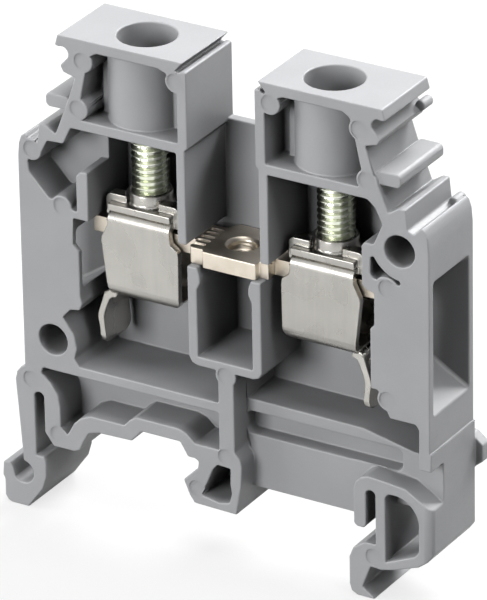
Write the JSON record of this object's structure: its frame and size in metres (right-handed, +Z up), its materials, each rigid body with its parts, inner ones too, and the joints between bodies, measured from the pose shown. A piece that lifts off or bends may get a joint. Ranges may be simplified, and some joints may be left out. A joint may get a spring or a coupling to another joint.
{
  "type": "feed-through terminal block",
  "caption": "Rail-mounted feed-through terminal block: open-sided moulded housing, rising cage screw clamps joined by a current bar, and snap feet for a 35 mm rail.",
  "frame": {"origin": "bottom centre of the box round the whole block, level with the soles of the rail feet", "axes": "+Z up from the rail towards the screwdriver wells, X from one wire entry to the other, +Y from the open side towards the closed back wall"},
  "size_m": [0.0454, 0.0092, 0.0479],
  "materials": {
    "housing": "satin moulded polyamide, mid grey",
    "current_bar": "tin-plated copper alloy",
    "cage": "zinc-plated strip, satin",
    "screw": "bright zinc plate"
  },
  "bodies": {
    "block": {"housing": "housing", "current_bar": "current_bar"},
    "cage_left": {"cage_left": "cage"},
    "cage_right": {"cage_right": "cage"},
    "screw_left": {"screw_left": "screw"},
    "screw_right": {"screw_right": "screw"}
  },
  "joints": [
    {"name": "screw_left_turn", "type": "hinge", "parent": "block", "child": "screw_left", "pos_m": [-0.00855, -0.00065, 0.04], "axis": [0, 0, -1], "range_deg": [0, 2880]},
    {"name": "screw_right_turn", "type": "hinge", "parent": "block", "child": "screw_right", "pos_m": [0.01045, -0.00065, 0.04], "axis": [0, 0, -1], "range_deg": [0, 2880]},
    {"name": "cage_left_rise", "type": "slide", "parent": "block", "child": "cage_left", "axis": [0, 0, 1], "range_m": [0, 0.0048]},
    {"name": "cage_right_rise", "type": "slide", "parent": "block", "child": "cage_right", "axis": [0, 0, 1], "range_m": [0, 0.0048]}
  ],
  "couplings": [
    {"joint": "screw_left_turn", "follows": "cage_left_rise", "rad_per_m": 10472},
    {"joint": "screw_right_turn", "follows": "cage_right_rise", "rad_per_m": 10472}
  ]
}
